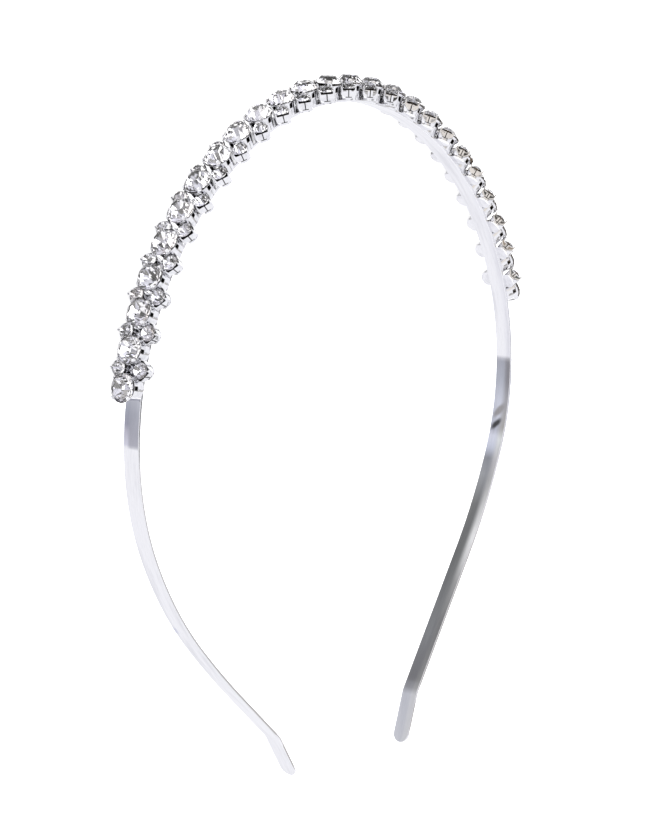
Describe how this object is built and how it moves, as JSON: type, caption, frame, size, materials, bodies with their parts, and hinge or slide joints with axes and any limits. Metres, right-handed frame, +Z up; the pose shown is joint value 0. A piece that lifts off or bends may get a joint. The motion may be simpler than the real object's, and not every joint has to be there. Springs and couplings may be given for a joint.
{
  "type": "crystal headband",
  "caption": "Narrow arched metal headband with bent-out round tips and a row of large and small claw-set round crystals along its crown.",
  "frame": {"origin": "middle of the bottom of the whole part's box, where the side it lies on meets the surface", "axes": "+X across the arch to the wearer's left, +Y to the crown, +Z up along the width of the band, to the front"},
  "size_m": [0.133, 0.1502, 0.01],
  "materials": {
    "silver_plate": "mirror-bright silver-coloured plating on the strip and the settings",
    "crystal": "clear cut glass with a mirror foil on its back"
  },
  "bodies": {
    "root": {"band_with_settings": "silver_plate", "small_stones_front": "crystal", "small_stones_back": "crystal", "large_stone_01": "crystal", "large_stone_02": "crystal", "large_stone_03": "crystal", "large_stone_04": "crystal", "large_stone_05": "crystal", "large_stone_06": "crystal", "large_stone_07": "crystal", "large_stone_08": "crystal", "large_stone_09": "crystal", "large_stone_10": "crystal", "large_stone_11": "crystal", "large_stone_12": "crystal", "large_stone_13": "crystal", "large_stone_14": "crystal", "large_stone_15": "crystal", "large_stone_16": "crystal", "large_stone_17": "crystal", "large_stone_18": "crystal", "large_stone_19": "crystal", "large_stone_20": "crystal", "large_stone_21": "crystal", "large_stone_22": "crystal", "large_stone_23": "crystal", "large_stone_24": "crystal", "large_stone_25": "crystal"}
  },
  "joints": []
}
